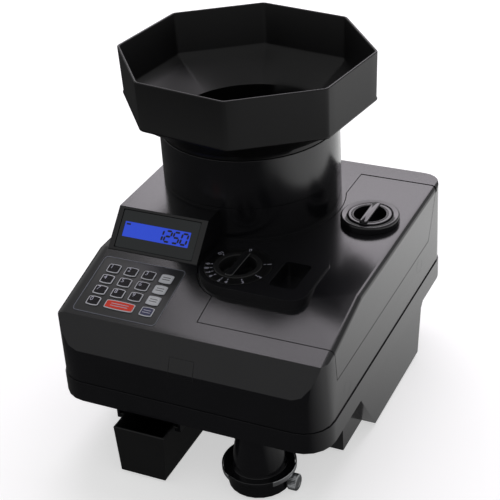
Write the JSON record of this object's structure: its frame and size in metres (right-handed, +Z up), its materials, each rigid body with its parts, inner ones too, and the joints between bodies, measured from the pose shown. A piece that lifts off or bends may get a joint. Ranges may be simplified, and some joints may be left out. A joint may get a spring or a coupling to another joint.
{
  "type": "coin sorting machine",
  "caption": "Counter-top coin counting and sorting machine with a turning funnel hopper, keypad, display, setting knobs, pull-out reject tray and coin outlet tube.",
  "frame": {"origin": "underside of the base plate, in the middle of the housing's width and under the axis of the feed disc and the hopper", "axes": "+X to the machine's right seen from its front, +Y to the rear, +Z up; the front faces -Y"},
  "size_m": [0.2905, 0.3652, 0.3319],
  "materials": {
    "housing_black": "satin moulded plastic, slightly glossy",
    "dark_plastic": "matte",
    "grey_plastic": "matte",
    "bezel_gloss": "gloss",
    "window": "smoked gloss",
    "lcd_blue": "lit blue display",
    "key_black": "matte",
    "key_grey": "matte",
    "key_blue": "matte",
    "key_red": "matte",
    "steel": "brushed",
    "chrome": "bright",
    "brass": "machined",
    "rubber": "matte",
    "board_green": "lacquered"
  },
  "bodies": {
    "housing": {"lower_housing": "housing_black", "upper_housing": "housing_black", "hopper_neck": "housing_black", "coin_tube": "housing_black", "display_window": "window", "lcd_module": "lcd_blue", "keypad_panel": "dark_plastic", "bottom_plate": "steel", "chassis_plate": "steel", "coin_deck": "steel", "drive_belt": "rubber", "drive_motor": "steel", "coin_rail": "steel", "feed_belt": "rubber", "feed_motor": "steel", "coin_sensor": "dark_plastic", "gate_solenoid": "steel", "reject_chute": "grey_plastic", "transformer": "steel", "control_board": "board_green", "power_inlet": "dark_plastic", "lid_hinge_rod": "steel", "rubber_foot_front_left": "rubber", "rubber_foot_front_right": "rubber", "rubber_foot_rear_left": "rubber", "rubber_foot_rear_right": "rubber"},
    "lid": {"access_lid": "housing_black", "thickness_scale": "dark_plastic", "size_knob_bezel": "bezel_gloss"},
    "thickness_dial": {"thickness_dial": "dark_plastic"},
    "thickness_gauge": {"thickness_gauge": "steel"},
    "size_knob": {"size_knob": "dark_plastic"},
    "size_gate": {"size_gate": "steel"},
    "hopper": {"hopper": "housing_black"},
    "feed_disc": {"coin_disc": "grey_plastic", "disc_shaft": "steel"},
    "motor_pulley": {"motor_pulley": "brass"},
    "rear_roller": {"feed_roller_rear": "grey_plastic"},
    "front_roller": {"feed_roller_front": "grey_plastic"},
    "reject_flap": {"reject_flap": "steel"},
    "plunger": {"solenoid_plunger": "steel"},
    "reject_tray": {"reject_tray": "housing_black"},
    "bag_clamp_ring": {"bag_clamp_ring": "chrome"},
    "thumbscrew": {"thumbscrew": "steel"},
    "power_switch": {"power_switch": "dark_plastic"},
    "key_0": {"key_0": "key_black"},
    "key_1": {"key_1": "key_black"},
    "key_2": {"key_2": "key_black"},
    "key_3": {"key_3": "key_black"},
    "key_4": {"key_4": "key_black"},
    "key_5": {"key_5": "key_black"},
    "key_6": {"key_6": "key_black"},
    "key_7": {"key_7": "key_black"},
    "key_8": {"key_8": "key_black"},
    "key_9": {"key_9": "key_black"},
    "key_start": {"key_start": "key_red"},
    "key_function_1": {"key_function_1": "key_grey"},
    "key_function_2": {"key_function_2": "key_grey"},
    "key_function_3": {"key_function_3": "key_grey"},
    "key_function_4": {"key_function_4": "key_blue"}
  },
  "joints": [
    {"name": "lid_open", "type": "hinge", "parent": "housing", "child": "lid", "pos_m": [0, 0.072, 0.1626], "axis": [-1, 0, 0], "range_deg": [0, 11]},
    {"name": "hopper_swivel", "type": "hinge", "parent": "housing", "child": "hopper", "pos_m": [-0.0316, 0, 0.2535], "axis": [0, 0, 1], "continuous": true},
    {"name": "thickness_dial_turn", "type": "hinge", "parent": "lid", "child": "thickness_dial", "pos_m": [0.0125, -0.1323, 0.1721], "axis": [0, 0, 1], "range_deg": [-135, 135]},
    {"name": "thickness_gauge_lift", "type": "slide", "parent": "lid", "child": "thickness_gauge", "axis": [0, 0, 1], "range_m": [-0.00125, 0.00125]},
    {"name": "size_knob_turn", "type": "hinge", "parent": "lid", "child": "size_knob", "pos_m": [0.096, -0.01, 0.1721], "axis": [0, 0, 1], "range_deg": [-135, 135]},
    {"name": "size_gate_shift", "type": "slide", "parent": "lid", "child": "size_gate", "axis": [1, 0, 0], "range_m": [-0.01, 0.01]},
    {"name": "feed_disc_spin", "type": "hinge", "parent": "housing", "child": "feed_disc", "pos_m": [-0.0316, 0, 0.118], "axis": [0, 0, 1], "continuous": true},
    {"name": "motor_pulley_spin", "type": "hinge", "parent": "housing", "child": "motor_pulley", "pos_m": [0.072, -0.018, 0.0785], "axis": [0, 0, 1], "continuous": true},
    {"name": "front_roller_spin", "type": "hinge", "parent": "housing", "child": "front_roller", "pos_m": [0.062, -0.178, 0.1318], "axis": [1, 0, 0], "continuous": true},
    {"name": "rear_roller_spin", "type": "hinge", "parent": "housing", "child": "rear_roller", "pos_m": [0.062, -0.098, 0.1318], "axis": [1, 0, 0], "continuous": true},
    {"name": "reject_flap_drop", "type": "hinge", "parent": "housing", "child": "reject_flap", "pos_m": [0.062, -0.136, 0.1165], "axis": [1, 0, 0], "range_deg": [0, 30], "stiffness_Nm_per_rad": 0.02, "springref_deg": -34.38},
    {"name": "plunger_pull", "type": "slide", "parent": "housing", "child": "plunger", "axis": [0, 0, -1], "range_m": [0, 0.0099]},
    {"name": "reject_tray_slide", "type": "slide", "parent": "housing", "child": "reject_tray", "axis": [0, -1, 0], "range_m": [0, 0.1]},
    {"name": "bag_clamp_turn", "type": "hinge", "parent": "housing", "child": "bag_clamp_ring", "pos_m": [0.062, -0.214, 0.019], "axis": [0, 0, 1], "continuous": true},
    {"name": "thumbscrew_turn", "type": "hinge", "parent": "housing", "child": "thumbscrew", "pos_m": [0.0917, -0.214, 0.0065], "axis": [1, 0, 0], "range_deg": [-720, 720]},
    {"name": "power_switch_rock", "type": "hinge", "parent": "housing", "child": "power_switch", "pos_m": [0.104, 0.0978, 0.099], "axis": [1, 0, 0], "range_deg": [0, 16]},
    {"name": "key_0_press", "type": "slide", "parent": "housing", "child": "key_0", "axis": [0, 0.2541, -0.9672], "range_m": [0, 0.0005], "stiffness_N_per_m": 400, "springref_m": -0.0001},
    {"name": "key_1_press", "type": "slide", "parent": "housing", "child": "key_1", "axis": [0, 0.2541, -0.9672], "range_m": [0, 0.0005], "stiffness_N_per_m": 400, "springref_m": -0.0001},
    {"name": "key_2_press", "type": "slide", "parent": "housing", "child": "key_2", "axis": [0, 0.2541, -0.9672], "range_m": [0, 0.0005], "stiffness_N_per_m": 400, "springref_m": -0.0001},
    {"name": "key_3_press", "type": "slide", "parent": "housing", "child": "key_3", "axis": [0, 0.2541, -0.9672], "range_m": [0, 0.0005], "stiffness_N_per_m": 400, "springref_m": -0.0001},
    {"name": "key_4_press", "type": "slide", "parent": "housing", "child": "key_4", "axis": [0, 0.2541, -0.9672], "range_m": [0, 0.0005], "stiffness_N_per_m": 400, "springref_m": -0.0001},
    {"name": "key_5_press", "type": "slide", "parent": "housing", "child": "key_5", "axis": [0, 0.2541, -0.9672], "range_m": [0, 0.0005], "stiffness_N_per_m": 400, "springref_m": -0.0001},
    {"name": "key_6_press", "type": "slide", "parent": "housing", "child": "key_6", "axis": [0, 0.2541, -0.9672], "range_m": [0, 0.0005], "stiffness_N_per_m": 400, "springref_m": -0.0001},
    {"name": "key_7_press", "type": "slide", "parent": "housing", "child": "key_7", "axis": [0, 0.2541, -0.9672], "range_m": [0, 0.0005], "stiffness_N_per_m": 400, "springref_m": -0.0001},
    {"name": "key_8_press", "type": "slide", "parent": "housing", "child": "key_8", "axis": [0, 0.2541, -0.9672], "range_m": [0, 0.0005], "stiffness_N_per_m": 400, "springref_m": -0.0001},
    {"name": "key_9_press", "type": "slide", "parent": "housing", "child": "key_9", "axis": [0, 0.2541, -0.9672], "range_m": [0, 0.0005], "stiffness_N_per_m": 400, "springref_m": -0.0001},
    {"name": "key_start_press", "type": "slide", "parent": "housing", "child": "key_start", "axis": [0, 0.2541, -0.9672], "range_m": [0, 0.0005], "stiffness_N_per_m": 400, "springref_m": -0.0001},
    {"name": "key_function_1_press", "type": "slide", "parent": "housing", "child": "key_function_1", "axis": [0, 0.2541, -0.9672], "range_m": [0, 0.0005], "stiffness_N_per_m": 400, "springref_m": -0.0001},
    {"name": "key_function_2_press", "type": "slide", "parent": "housing", "child": "key_function_2", "axis": [0, 0.2541, -0.9672], "range_m": [0, 0.0005], "stiffness_N_per_m": 400, "springref_m": -0.0001},
    {"name": "key_function_3_press", "type": "slide", "parent": "housing", "child": "key_function_3", "axis": [0, 0.2541, -0.9672], "range_m": [0, 0.0005], "stiffness_N_per_m": 400, "springref_m": -0.0001},
    {"name": "key_function_4_press", "type": "slide", "parent": "housing", "child": "key_function_4", "axis": [0, 0.2541, -0.9672], "range_m": [0, 0.0005], "stiffness_N_per_m": 400, "springref_m": -0.0001}
  ],
  "couplings": [
    {"joint": "thickness_gauge_lift", "follows": "thickness_dial_turn", "m_per_rad": 0.0005093},
    {"joint": "size_gate_shift", "follows": "size_knob_turn", "m_per_rad": -0.0042},
    {"joint": "motor_pulley_spin", "follows": "feed_disc_spin", "ratio": 3.5556},
    {"joint": "rear_roller_spin", "follows": "front_roller_spin", "ratio": 1},
    {"joint": "plunger_pull", "follows": "reject_flap_drop", "m_per_rad": 0.0187}
  ]
}
